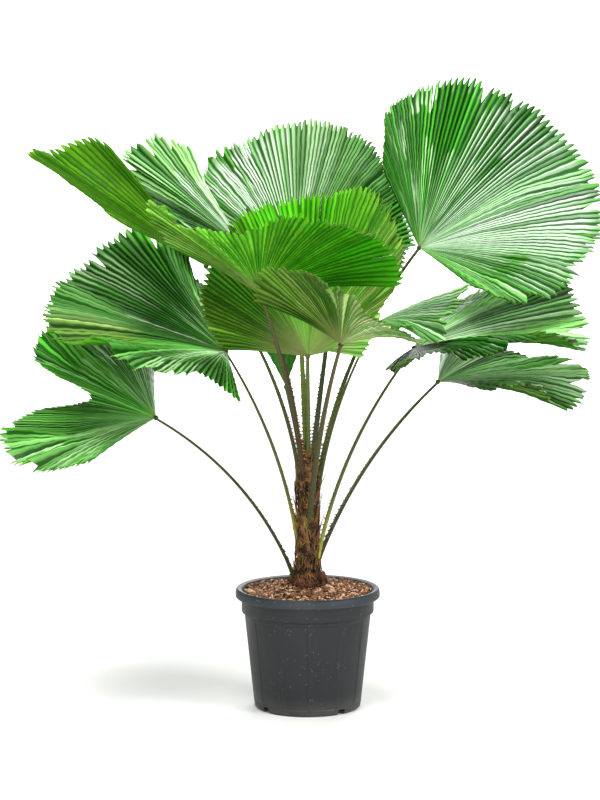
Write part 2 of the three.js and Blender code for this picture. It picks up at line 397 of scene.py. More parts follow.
def soilHeight(x, y):
    away = np.hypot(x, y) / soil["radius"]
    mound = soil["edge"] + (soil["crown"] - soil["edge"]) * np.clip(1.15 - away, 0, 1) ** 1.3
    lumps = np.sin(x * 71 + 1.3) * np.sin(y * 83 + 0.4) * 0.0016
    grains = np.sin(x * 190 + y * 60) * np.sin(y * 240 - x * 35) * 0.0012
    return mound + lumps + grains


def soilFinish():
    finish = Finish("darkPeat", Specular_IOR_Level=0.2)
    place = finish.place()
    coarse = finish.noise(place, 60.0, 4.0)
    fine = finish.noise(place, 420.0, 3.0)
    # The peat's own dark brown, kept darker still as painted shade in the gaps between the chips.
    ground = finish.mix(coarse.ease(0.35, 0.65), paint(14, 7, 4), paint(54, 31, 19))
    finish.set("Base Color", finish.mix(fine.ease(0.5, 0.72) * 0.45, ground, paint(124, 84, 56)))
    finish.set("Roughness", 0.85 + fine * 0.1)
    finish.bump(fine + coarse * 0.6, 0.0015)
    return finish.material


def chipFinish(name, dark, light):
    finish = Finish(name, Specular_IOR_Level=0.3)
    place = finish.place()
    grain = finish.noise(place, 240.0, 3.0)
    patch = finish.noise(place, 38.0)
    finish.wear(grain * 0.5 + patch * 0.5, dark, light, 0.7 + grain * 0.25, grain)
    return finish.material


def makeSoil():
    piece = startRound("soil_mound", soil["sides"], soil["radius"], soil["edge"] - soil["depth"])
    bpy.ops.mesh.extrude_region_move(TRANSFORM_OT_translate={"value": (0, 0, soil["depth"])})
    gap = soil["radius"] * soil["spread"] / soil["rings"]
    for _ in range(1, soil["rings"]):
        bpy.ops.mesh.inset(thickness=gap, depth=0, use_even_offset=False)
    bpy.ops.object.mode_set(mode="OBJECT")
    applyModifier(piece, "TRIANGULATE")
    mesh = piece.data
    spots = np.zeros(len(mesh.vertices) * 3)
    mesh.vertices.foreach_get("co", spots)
    spots = spots.reshape(-1, 3)
    top = spots[:, 2] > soil["edge"] - 0.01
    spots[top, 2] = soilHeight(spots[top, 0], spots[top, 1])
    mesh.vertices.foreach_set("co", spots.ravel())
    mesh.update()
    dress(piece, soilFinish(), 60)
    settle(piece, "root", "soil")


# Chips: bent little blocks, lying at all angles on the mound.
def makeChips():
    draws = np.random.default_rng(soil["seed"])
    block = [
        [-1, -1, -1], [1, -0.8, -1], [0.9, 1, -1], [-0.8, 0.9, -1],
        [-0.8, -0.9, 1], [0.9, -1, 0.8], [0.7, 0.8, 1], [-1, 0.7, 0.9],
    ]
    sides = [[0, 3, 2, 1], [4, 5, 6, 7], [0, 1, 5, 4], [1, 2, 6, 5], [2, 3, 7, 6], [3, 0, 4, 7]]
    count = soil["chips"]
    away = soil["radius"] * soil["spread"] * np.sqrt(draws.uniform(0.02, 1, count))
    turn = draws.uniform(0, math.tau, count)
    x = away * np.cos(turn)
    y = away * np.sin(turn)
    bulk, scale, least = soil["chipSize"]
    length = draws.gamma(bulk, scale, count) + least
    shape = np.stack([length, length * draws.uniform(0.3, 0.7, count), length * 0.28], 1)
    tilt = draws.normal(0, 0.45, (count, 2))
    spin = draws.uniform(0, math.tau, count)
    points = np.array(block)[None] * shape[:, None] * draws.uniform(0.75, 1.25, (count, 8, 3))
    turned = turnPoints(points, spin, tilt)
    rest = np.stack([x, y, soilHeight(x, y) + draws.uniform(-0.0005, 0.0022, count)], 1)
    reach = np.hypot(turned[..., 0] + rest[:, None, 0], turned[..., 1] + rest[:, None, 1]).max(1)
    points = (turned + rest[:, None])[reach < soil["radius"] - 0.0004]
    faces = repeated(sides, len(points), 8)
    finishes = [
        chipFinish("barkChip", (66, 37, 23), (172, 116, 80)),
        chipFinish("paleChip", (176, 134, 98), (244, 206, 168)),
        chipFinish("darkChip", (14, 8, 5), (60, 36, 23)),
    ]
    kinds = draws.choice(3, len(points), p=soil["chipKinds"])
    chips = meshPiece("bark_chips", points.reshape(-1, 3), faces, finishes, np.repeat(kinds, 6))
    settle(chips, "root", None)


# Points of many small pieces: each turned about Z by spin, then tipped about X and Y.
def turnPoints(points, spin, tilt):
    c, s = np.cos(spin)[:, None], np.sin(spin)[:, None]
    x = points[..., 0] * c - points[..., 1] * s
    y = points[..., 0] * s + points[..., 1] * c
    z = points[..., 2]
    cx, sx = np.cos(tilt[:, :1]), np.sin(tilt[:, :1])
    y, z = y * cx - z * sx, y * sx + z * cx
    cy, sy = np.cos(tilt[:, 1:]), np.sin(tilt[:, 1:])
    x, z = x * cy + z * sy, -x * sy + z * cy
    return np.stack([x, y, z], -1)


makeSoil()
makeChips()
print("soil made")


# The trunk: leaf bases wrapped in woven fibre
trunk = {
    "foot": 0.288,
    "top": 0.598,
    "profile": [
        (0.040, 0.288), (0.0385, 0.298), (0.036, 0.309), (0.0325, 0.320), (0.030, 0.330),
        (0.0275, 0.345), (0.0262, 0.362), (0.0250, 0.381), (0.0245, 0.400), (0.0242, 0.420),
        (0.0240, 0.440), (0.0240, 0.460), (0.0240, 0.481), (0.0245, 0.500), (0.0252, 0.520),
        (0.0258, 0.540), (0.0260, 0.553), (0.0258, 0.570), (0.0250, 0.588), (0.0180, 0.598),
    ],
    "sides": 96,
    "cuts": 4,                           # rings added between two rings of the profile
    "lumps": [("leafBases", 0.034, 0.012), ("knots", 0.009, 0.0065)],   # spacing and height
    "strands": 520,
    "strandSteps": 9,
    "strandRise": (0.025, 0.085),
    "strandWidth": (0.0005, 0.0012),
    "strandSection": [(1, 0), (0, 0.7), (-1, 0), (0, -0.7)],
    "scraps": 30,
    "scrapSteps": 10,
    "scrapLength": (0.05, 0.11),
    "scrapWidth": (0.0028, 0.0062),
    "scrapSection": [(1, 0.14), (0.4, -0.04), (-0.4, -0.04), (-1, 0.14), (-0.4, 0.08), (0.4, 0.08)],
    "scrapTurn": 2.399963,               # radians from one scrap to the next
    "nodules": 34,
    "noduleSize": (0.005, 0.011),
    "mossHeight": 0.445,                 # one green patch in front
    "seed": 5,
}


def trunkRadius(height):
    radii, heights = zip(*trunk["profile"])
    return np.interp(height, heights, radii)


def fibreFinish():
    finish = Finish("wovenFibre", Specular_IOR_Level=0.25)
    place = finish.place()
    x, y, z = finish.parts(place)
    turn = x.math("ARCTAN2", y, x)
    rising = (turn * 22.0 + z * 620.0 + finish.noise(place, 30.0) * 5.0).sine()
    falling = (turn * 22.0 - z * 620.0 + finish.noise(place, 26.0) * 5.0).sine()
    weave = rising.math("MAXIMUM", rising, falling)
    patch = finish.noise(place, 22.0, 4.0)
    brown = finish.mix(patch.ease(0.40, 0.62), paint(9, 4, 2), paint(78, 49, 26))
    # Painted highlight on the raised weave.
    brown = finish.mix(weave.ease(0.2, 1.0) * 0.3, brown, paint(120, 88, 48))
    # Painted shade in the sunken gaps between the fibre bands.
    gaps = finish.noise(finish.join(turn * 2.4, z * 34.0, 0.0), 1.0, 4.0, 0.65).ease(0.50, 0.57)
    brown = finish.mix(gaps * 0.9, brown, paint(14, 7, 4))
    above = (z - trunk["mossHeight"]).size()
    mossy = 1 - (finish.noise(place, 60.0, 3.0) * 0.02 + above).ease(0.02, 0.032)
    mossy = mossy * (0 - y).ease(0.012, 0.022) * (1 - (x + 0.008).size().ease(0.004, 0.012))
    finish.set("Base Color", finish.mix(mossy * 0.85, brown, paint(170, 168, 70)))
    finish.set("Roughness", 0.8 + patch * 0.15)
    finish.bump(weave * 0.5 + patch * 0.6 - gaps * 0.8, 0.0030)
    return finish.material


def strandFinish(name, dark, light, roughness=0.75):
    finish = Finish(name, Specular_IOR_Level=0.3)
    place = finish.place()
    grain = finish.noise(place, 330.0)
    mottle = (finish.noise(place, 45.0, 3.0) * 0.6 + grain * 0.4).ease(0.38, 0.62)
    finish.wear(mottle, dark, light, roughness + grain * 0.15, grain)
    return finish.material


# Points at a distance from the trunk's axis.
def roundAxis(away, bearing, height):
    return np.stack([away * np.cos(bearing), away * np.sin(bearing), height], -1)


# Strands or ribbons along paths of points, as closed tubes of a few sides.
def makeTubes(name, paths, widths, section, finish, smoothAngle):
    count, steps, _ = paths.shape
    along = unit(np.gradient(paths, axis=1))
    across = unit(np.cross(along, unit(paths * np.array([1, 1, 0]))))
    proud = np.cross(across, along)
    ring = widths[:, :, None, None] * np.array(section)
    points = (
        paths[:, :, None] + across[:, :, None] * ring[..., :1] + proud[:, :, None] * ring[..., 1:]
    )
    faces = repeated(tubeFaces(steps, len(section)), count, steps * len(section))
    piece = meshPiece(name, points.reshape(-1, 3), faces, [finish], smoothAngle=smoothAngle)
    settle(piece, "root", None)


def makeTrunk():
    piece = startRound("trunk_core", trunk["sides"], *trunk["profile"][0])
    drawRings(trunk["profile"][0], trunk["profile"][1:])
    pick(piece, "edges", lambda edge: abs(edge.verts[0].co.z - edge.verts[1].co.z) > 1e-4)
    bpy.ops.mesh.subdivide(number_cuts=trunk["cuts"], quadcorner="STRAIGHT_CUT")
    bpy.ops.object.mode_set(mode="OBJECT")
    for name, scale, strength in trunk["lumps"]:
        texture = bpy.data.textures.new(name, "CLOUDS")
        texture.noise_scale = scale
        applyModifier(
            piece, "DISPLACE", texture=texture, strength=strength, mid_level=0.5,
            texture_coords="GLOBAL",
        )
    dress(piece, fibreFinish(), 50)
    settle(piece, "root", "trunk")


# Strands lie slantwise round the trunk, some loose at their ends.
def makeStrands(draws):
    each = (trunk["strands"], 1)
    share = np.linspace(0, 1, trunk["strandSteps"])[None]
    foot = draws.uniform(trunk["foot"] + 0.004, trunk["top"] - 0.03, each)
    rise = draws.uniform(*trunk["strandRise"], each)
    turn = draws.uniform(0, math.tau, each)
    slant = draws.normal(0, 1, each) * 0.75
    height = foot + rise * share
    bearing = turn + slant * share + 0.12 * np.sin(share * 5 + turn * 3)
    loose = draws.gamma(1.0, 0.0035, each) * share**2
    away = trunkRadius(height) + draws.uniform(0.0, 0.004, each) + loose
    paths = roundAxis(away, bearing, height)
    widths = draws.uniform(*trunk["strandWidth"], each) * (1.05 - share**3)
    finish = strandFinish("paleStrand", (10, 5, 3), (138, 98, 54))
    makeTubes("fibre_strands", paths, widths, trunk["strandSection"], finish, 60)


# Scraps: split dry leaf bases that stand off the trunk.
def makeScraps(draws):
    each = (trunk["scraps"], 1)
    share = np.linspace(0, 1, trunk["scrapSteps"])[None]
    foot = np.linspace(trunk["foot"] + 0.03, trunk["top"] - 0.07, trunk["scraps"])[:, None]
    turn = (np.arange(trunk["scraps"]) * trunk["scrapTurn"] + 0.6)[:, None]
    length = draws.uniform(*trunk["scrapLength"], each)
    height = foot + length * share * 0.9
    away = trunkRadius(foot) + 0.001 + length * draws.uniform(0.12, 0.38, each) * share**1.6
    bearing = turn + draws.normal(0, 0.3, each) * share
    paths = roundAxis(away, bearing, height)
    widths = draws.uniform(*trunk["scrapWidth"], each) * (1.02 - share**1.4)
    finish = strandFinish("dryLeafBase", (10, 5, 3), (122, 84, 48))
    makeTubes("leaf_base_scraps", paths, widths, trunk["scrapSection"], finish, 40)


# Nodules: knobbly root starts round the foot.
def makeNodules(draws):
    bpy.ops.object.select_all(action="DESELECT")
    bpy.ops.mesh.primitive_ico_sphere_add(subdivisions=2, radius=1, location=(0, 0, 0))
    ball = bpy.context.object
    spots = np.array([vertex.co for vertex in ball.data.vertices])
    sides = np.array([list(face.vertices) for face in ball.data.polygons])
    bpy.data.objects.remove(ball)
    count = trunk["nodules"]
    turn = draws.uniform(0, math.tau, count)
    height = trunk["foot"] + draws.gamma(1.4, 0.010, count).clip(0, 0.05)
    size = draws.uniform(*trunk["noduleSize"], count)
    away = trunkRadius(height) + draws.uniform(-0.002, 0.004, count)
    rough = draws.uniform(0.78, 1.16, (count, len(spots), 1))
    stretch = np.stack([size, size, size * draws.uniform(0.6, 1.2, count)], 1)
    points = spots[None] * rough * stretch[:, None] + roundAxis(away, turn, height)[:, None]
    faces = repeated(sides, count, len(spots))
    finish = strandFinish("rootKnob", (22, 11, 6), (112, 66, 42))
    piece = meshPiece("foot_nodules", points.reshape(-1, 3), faces, [finish], smoothAngle=80)
    settle(piece, "root", None)


makeTrunk()
trunkDraws = np.random.default_rng(trunk["seed"])
makeStrands(trunkDraws)
makeScraps(trunkDraws)
makeNodules(trunkDraws)
print("trunk made")


# The fronds: the part's own rule, written again in metres and carried to fine pleats.
leaf = {
    "toothTurn": 0.0340,     # radians of fan for each tooth
    "samples": 6,            # columns for each tooth
    "rows": 28,
    "thickness": 0.0009,
    "hubGap": 0.004,
    "cut": 0.019,
    "pleat": 0.0030,
    "wave": 0.008,
    "waves": [(0.12, 1.0), (0.26, 0.55), (0.052, 1.1)],   # radians for each tooth, and size
    "ripple": 0.0009,
    "rippleLength": 0.038,
    "splitWidth": 4.4,       # half width of a split at the margin, in columns
    "splitRise": 0.009,
    "kink": 0.015,           # how far a bent tip stands off at the margin
    "nickEvery": 12,         # one tooth in so many is cut deeper
    "bendEvery": 10,         # one bunch of bent tips to so many teeth
    "seed": 100,
}
# How high each column of a tooth stands in the pleat, and its share of the cut at the margin
toothRise = np.array([-1.0, -0.33, 0.33, 1.0, 0.33, -0.33])
toothCut = np.array([1.0, 0.0, 0.12, 0.3, 0.52, 0.78])

# Leaf colours. sheen and mint are painted reflection of the sky; sunny and lime are the underside's
# green brightened with painted light shining through the blade.
deep = (18, 84, 10)
fresh = (54, 138, 32)
pale = (130, 186, 114)
sheen = (226, 244, 228)
sunny = (92, 196, 24)
lime = (150, 214, 84)
olive = (104, 132, 56)
mint = (178, 236, 150)
bright = (100, 172, 74)

# hub is where petiole and blade meet, root the bearing, distance and height at the trunk.
# ribs are guide ribs: bearing, pitch and share of reach, which is 1 where it isn't given.
# upper, under, tips and gloss run from the first rib to the last, stalk from root to hub.
# The upper, under and tips tones hold the leaf's own greens with painted sheen and painted shade laid
# over them, and the under tones painted light shining through the blade as well.
# gloss sets a real coat and the painted reflection of the sky.
# splits and creases have a place on that way, and a depth or a step.
fronds = [
    {
        "name": "right_top", "hub": (0.265, 0.150, 1.074), "root": (30, 0.014, 0.440),
        "bow": 0.17, "reach": 0.440, "droop": 8, "cut": 0.021,
        "ribs": [
            (-72, -10, 0.78), (-54, -13, 0.9), (-36, 0), (-20, 13), (-8, 25, 1.02),
            (11, 36, 1.04), (24, 52, 1.03), (50, 66), (85, 76, 0.9), (-160, 77, 0.79),
            (-135, 66, 0.7), (-123, 49, 0.62),
        ],
        "splits": [
            (0.2, 0.05), (0.28, 0.07), (0.35, 0.05), (0.43, 0.04), (0.61, 0.04), (0.66, 0.05),
        ],
        "upper": [bright, pale, pale, pale, pale, bright, fresh, fresh, fresh, fresh, fresh, fresh],
        "under": [sunny, lime],
        "gloss": [0.9, 1.0, 1.15, 1.4, 1.4, 1.25, 1.1, 1.0, 0.9, 0.75, 0.6, 0.5],
        "creases": [(0.285, 0.020), (0.12, 0.010)],
        "stalk": [(104, 120, 62), (96, 118, 56)],
    },
    {
        "name": "back_middle", "hub": (-0.025, 0.230, 1.021), "root": (93, 0.014, 0.545),
        "bow": 0.03, "reach": 0.395, "droop": 8,
        "ribs": [
            (-37, 16, 0.76), (-30, 36, 0.82), (0, 61, 0.88), (50, 70, 0.95), (90, 66),
            (125, 60, 0.96), (157, 55, 0.9), (-168, 42, 0.82), (-158, 21, 0.74),
        ],
        "upper": [bright, pale, pale, sheen, pale, pale, mint],
        "under": [sunny],
        "gloss": [0.8, 0.92, 1.02, 1.1, 1.1, 1.06],
        "creases": [(0.8, 0.014), (0.2, -0.012)],
        "stalk": [(120, 140, 70), (150, 175, 90)],
    },
    {
        "name": "front_left", "hub": (-0.108, -0.200, 0.991), "root": (-117, 0.016, 0.530),
        "bow": 0.1, "reach": 0.375, "droop": 14, "kink": 0.4,
        "ribs": [
            (-147, 30, 0.7), (-150, 40, 0.94), (-137, 38, 0.98), (-118, 33), (-98, 32),
            (-82, 36), (-68, 36), (-54, 34), (-42, 29), (-35, 21, 1.02), (-33, 11, 0.98),
        ],
        "upper": [fresh],
        "under": [
            (176, 232, 110), (166, 226, 96), (164, 224, 92), (130, 210, 56), (112, 202, 40),
            (112, 202, 40), (96, 200, 26), (88, 198, 22), (104, 202, 40),
        ],
        "gloss": [0.3],
        "creases": [(0.64, 0.012)],
        "stalk": [(84, 66, 44), (92, 82, 50), (110, 118, 66)],
    },
    {
        "name": "front_middle", "hub": (0.072, -0.330, 0.889), "root": (-78, 0.014, 0.440),
        "bow": 0.12, "reach": 0.310, "droop": 24,
        "ribs": [
            (-138, 32, 0.85), (-135, 39, 0.92), (-120, 46), (-103, 45), (-90, 37), (-78, 26),
            (-52, 17, 0.95),
        ],
        "upper": [fresh],
        "under": [
            (128, 156, 76), (126, 154, 72), (112, 144, 60), (168, 194, 122), (220, 234, 182),
            (210, 228, 170),
        ],
        "gloss": [0.0],
        "creases": [(0.56, -0.014)],
        "stalk": [(78, 88, 50), (96, 92, 56), (112, 100, 66)],
    },
    {
        "name": "middle", "hub": (0.000, -0.040, 0.834), "root": (-90, 0.008, 0.560),
        "bow": 0.02, "reach": 0.400, "droop": 8,
        "ribs": [
            (-170, 8, 0.52), (-166, 27, 0.7), (-160, 44, 0.82), (-165, 64, 0.93),
            (140, 78, 0.93), (60, 76, 0.97), (0, 72, 1.04), (5, 61, 0.97), (12, 45, 0.8),
            (18, 25, 0.42), (28, 10, 0.3),
        ],
        "upper": [fresh],
        "under": [
            (72, 110, 24), (60, 102, 16), (66, 126, 20), sunny, sunny, (120, 196, 50),
            (176, 206, 112), (176, 206, 112), bright,
        ],
        "gloss": [0.0],
        "stalk": [(96, 112, 56), (110, 130, 66)],
    },
    {
        "name": "left_top", "hub": (-0.234, -0.060, 1.045), "root": (-160, 0.016, 0.530),
        "bow": 0.14, "reach": 0.460, "droop": 3, "kink": 0.2,
        "ribs": [
            (118, 13, 0.5), (138, 20, 0.62), (154, 28, 0.84), (166, 32), (-172, 35, 1.05),
            (-151, 35, 1.04), (-146, 39, 1.01), (-141, 44, 0.96), (-136, 46, 0.9),
        ],
        "upper": [sheen, fresh, deep],
        "under": [(156, 218, 72), (162, 222, 80), (150, 214, 62), (124, 190, 40), (92, 156, 26)],
        "gloss": [0.5],
        "stalk": [(84, 92, 50), (92, 110, 58)],
    },
    {
        "name": "left_low", "hub": (-0.352, -0.050, 0.692), "root": (-173, 0.028, 0.306),
        "bow": 0.17, "reach": 0.385, "droop": 10,
        "ribs": [
            (95, 21, 0.7), (104, 29, 0.82), (122, 33, 0.93), (140, 34), (156, 34, 0.94),
            (175, 31, 0.86), (-177, 27, 0.7), (-170, 20, 0.42), (-166, 7, 0.78),
            (-160, -2, 0.97), (-156, -6, 1.01), (-142, -6), (-128, -8, 0.96),
            (-116, -9, 0.85),
        ],
        "splits": [(0.25, 0.05), (0.33, 0.04)],
        "upper": [bright, bright, bright, fresh, bright, pale, pale, pale, pale],
        "under": [sunny],
        "gloss": [0.95, 0.9, 0.8, 0.6, 0.6, 0.8, 0.85, 0.85],
        "creases": [(0.3, 0.010)],
        "stalk": [(74, 92, 44), (70, 96, 50), (84, 104, 56)],
    },
    {
        "name": "left_middle", "hub": (-0.190, -0.020, 0.843), "root": (-165, 0.014, 0.320),
        "bow": 0.12, "reach": 0.440, "droop": 10,
        "ribs": [
            (99, 29, 0.62), (116, 38, 0.78), (134, 44, 0.88), (147, 37, 0.98), (158, 29),
            (168, 22), (-163, 16), (-138, 11), (-116, 6, 0.92), (-100, 4, 0.86),
            (-90, -3, 0.8), (-82, -11, 0.75),
        ],
        "splits": [(0.17, 0.07), (0.27, 0.06), (0.37, 0.11), (0.8, 0.04)],
        "upper": [bright, fresh, fresh, fresh, deep, deep, deep, fresh, bright, pale, bright, fresh],
        "tips": [
            bright, bright, bright, pale, pale, pale, (116, 144, 72), (100, 128, 58), fresh, pale,
            bright, bright,
        ],
        "under": [olive, sunny],
        "gloss": [0.75, 0.8, 0.8, 0.75, 0.72, 0.7, 0.3, 0.3, 0.7, 0.9, 0.8, 0.4],
        "creases": [(0.36, -0.014), (0.56, 0.012)],
        "stalk": [(255, 236, 96), (120, 134, 60), (96, 112, 60), (96, 112, 60)],
    },
    {
        "name": "left_back", "hub": (-0.151, 0.030, 1.083), "root": (152, 0.014, 0.540),
        "bow": 0.1, "reach": 0.370, "droop": 12,
        "ribs": [
            (129, 42, 0.7), (131, 46, 0.86), (139, 48, 0.94), (146, 46), (155, 43),
            (159, 40, 1.02), (157, 34, 1.02), (152, 28), (150, 22, 0.95), (152, 14, 0.88),
        ],
        "splits": [(0.3, 0.05), (0.46, 0.06), (0.62, 0.05)],
        "upper": [pale, bright, bright, pale, bright, bright, pale, pale, bright],
        "tips": [sheen, sheen, mint, sheen, pale, mint, sheen, sheen, pale],
        "under": [sunny],
        "gloss": [1.08, 1.05, 0.95, 1.12, 1.0, 0.9, 1.1, 0.9],
        "creases": [(0.62, -0.016), (0.2, 0.012)],
        "stalk": [(86, 84, 50), (104, 116, 64)],
    },
    {
        "name": "left_inner", "hub": (-0.051, 0.100, 0.747), "root": (122, 0.012, 0.565),
        "bow": 0.02, "reach": 0.330, "droop": 12,
        "ribs": [
            (78, 30, 0.6), (80, 60, 0.8), (100, 76), (116, 60, 0.8), (110, 30, 0.6),
        ],
        "upper": [fresh],
        "under": [lime],
        "gloss": [0.0],
        "stalk": [(112, 132, 60), (120, 150, 70)],
    },
    {
        "name": "right_back", "hub": (0.073, 0.200, 1.030), "root": (60, 0.014, 0.545),
        "bow": 0.03, "reach": 0.370, "droop": 10,
        "ribs": [
            (57, -1, 0.85), (56, 14, 0.94), (64, 30), (74, 45), (88, 51), (105, 48, 0.93),
            (115, 31, 0.85),
        ],
        "upper": [bright, bright, pale, sheen],
        "under": [sunny],
        "gloss": [0.7, 0.9, 1.0],
        "stalk": [(84, 100, 78), (96, 116, 80)],
    },
    {
        "name": "right_inner", "hub": (0.160, 0.020, 0.908), "root": (-4, 0.014, 0.415),
        "bow": 0.12, "reach": 0.330, "droop": 12,
        "ribs": [
            (-104, 5, 0.7), (-92, 5, 0.78), (-80, 6, 0.82), (-68, 8, 0.86), (-60, 13, 0.94),
            (-55, 18), (-49, 24, 1.05),
        ],
        "splits": [(0.7, 0.05), (0.88, 0.04)],
        "upper": [sheen, pale, sheen],
        "under": [sunny],
        "gloss": [1.1, 1.1, 1.15],
        "creases": [(0.6, 0.010)],
        "stalk": [(90, 104, 52), (104, 122, 62)],
    },
    {
        "name": "right_low", "hub": (0.245, -0.060, 0.856), "root": (-22, 0.014, 0.300),
        "bow": 0.13, "reach": 0.410, "droop": 14,
        "ribs": [
            (-106, 0, 0.66), (-101, -4, 0.74), (-96, -3, 0.78), (-90, 3, 0.82),
            (-84, 6, 0.86), (-75, 8, 0.84), (-63, 12, 0.93), (-46, 12), (-23, 9, 1.02),
            (7, 15), (13, 22), (19, 26), (42, 24), (58, 22, 0.95), (71, 19, 0.85),
            (82, 11, 0.65),
        ],
        "splits": [(0.3, 0.04), (0.5, 0.06), (0.6, 0.07), (0.72, 0.05)],
        "upper": [
            deep, deep, deep, deep, deep, fresh, deep, sheen, mint, sheen, deep, sheen,
            mint, sheen, bright, mint,
        ],
        "under": [olive, sunny],
        "gloss": [0.3, 0.35, 0.45, 0.8, 0.95, 1.0, 1.05, 1.0, 0.9],
        "creases": [(0.57, 0.016), (0.24, -0.012)],
        "stalk": [(240, 236, 104), (104, 120, 62), (88, 102, 58), (88, 102, 58)],
    },
    {
        "name": "right_lower", "hub": (0.309, 0.100, 0.759), "root": (20, 0.014, 0.318),
        "bow": 0.13, "reach": 0.400, "droop": 14,
        "ribs": [
            (-77, 8, 0.66), (-70, 7, 0.78), (-63, 7, 0.9), (-54, 8, 0.88), (-48, 5, 0.94),
            (-44, 4, 1.02), (-33, 10, 0.99), (-10, 11, 0.9), (20, 9, 0.9), (33, 13, 0.86),
            (43, 19, 0.68), (41, 23, 0.8), (44, 28), (60, 31), (73, 27, 0.9), (86, 17, 0.75),
        ],
        "splits": [(0.28, 0.05), (0.4, 0.07), (0.52, 0.05)],
        "upper": [
            fresh, bright, sheen, bright, sheen, mint, pale, sheen, bright, pale, deep, sheen,
            mint, sheen, bright, pale,
        ],
        "under": [olive, sunny],
        "gloss": [0.9, 1.0, 1.0, 1.05, 1.0, 0.95, 0.85],
        "creases": [(0.34, 0.018), (0.62, -0.016)],
        "stalk": [(78, 96, 48), (84, 100, 52), (92, 106, 60)],
    },
]


def heading(bearing, pitch):
    turn, rise = math.radians(bearing), math.radians(pitch)
    level = math.cos(rise)
    return np.array([level * math.cos(turn), level * math.sin(turn), math.sin(rise)])


# The number of teeth, and even steps along the smooth curve through the guide ribs' tips.
def ribVectors(frond):
    guides = np.array([heading(*rib[:2]) * (*rib, 1)[2] for rib in frond["ribs"]])
    ends = np.concatenate([[2 * guides[0] - guides[1]], guides, [2 * guides[-1] - guides[-2]]])

    def curveAt(share):
        along = share * (len(guides) - 1)
        first = np.clip(np.floor(along).astype(int), 0, len(guides) - 2)
        t = (along - first)[:, None]
        p0, p1, p2, p3 = (ends[first + k] for k in range(4))
        v0, v1 = (p2 - p0) / 2, (p3 - p1) / 2
        cubic = (2 * p1 - 2 * p2 + v0 + v1) * t**3
        return cubic + (-3 * p1 + 3 * p2 - 2 * v0 - v1) * t**2 + v0 * t + p1

    shares = np.linspace(0, 1, 201)
    steps = np.linalg.norm(np.diff(curveAt(shares), axis=0), axis=1)
    run = np.concatenate([[0], np.cumsum(steps)])
    toothCount = max(12, round(run[-1] / leaf["toothTurn"]))
    wanted = np.linspace(0, run[-1], toothCount * leaf["samples"] + 1)
    return toothCount, curveAt(np.interp(wanted, run, shares))


# Bunches of teeth bent off at a fold line: how far they lift, and how they turn to the light, as a
# painted light value: above 0 they take painted sheen, below 0 painted shade.
def bentTips(frond, toothCount, tooth, turn, toMargin, draws):
    lift, bent = np.zeros_like(toMargin), np.zeros_like(toMargin)
    for _ in range(max(3, toothCount // leaf["bendEvery"])):
        middle = draws.uniform(0, toothCount)
        wide = draws.uniform(2.0, 8.0)
        start = draws.uniform(0.5, 0.88) + draws.normal(0, 0.03, toothCount + 2)[tooth]
        bunch = np.clip(wide + 0.6 - np.abs(turn - middle), 0, 1)[:, None]
        beyond = np.clip(toMargin - start[:, None], 0, 1)
        sign = draws.choice([-1, 1])
        kink = leaf["kink"] * frond.get("kink", 1.0) * draws.uniform(0.5, 1.4)
        lift += bunch * beyond * sign * kink / 0.3
        bent -= bunch * np.clip(beyond * 14, 0, 1) * sign * draws.uniform(0.4, 1.0)
    return lift, np.clip(bent, -1, 1)


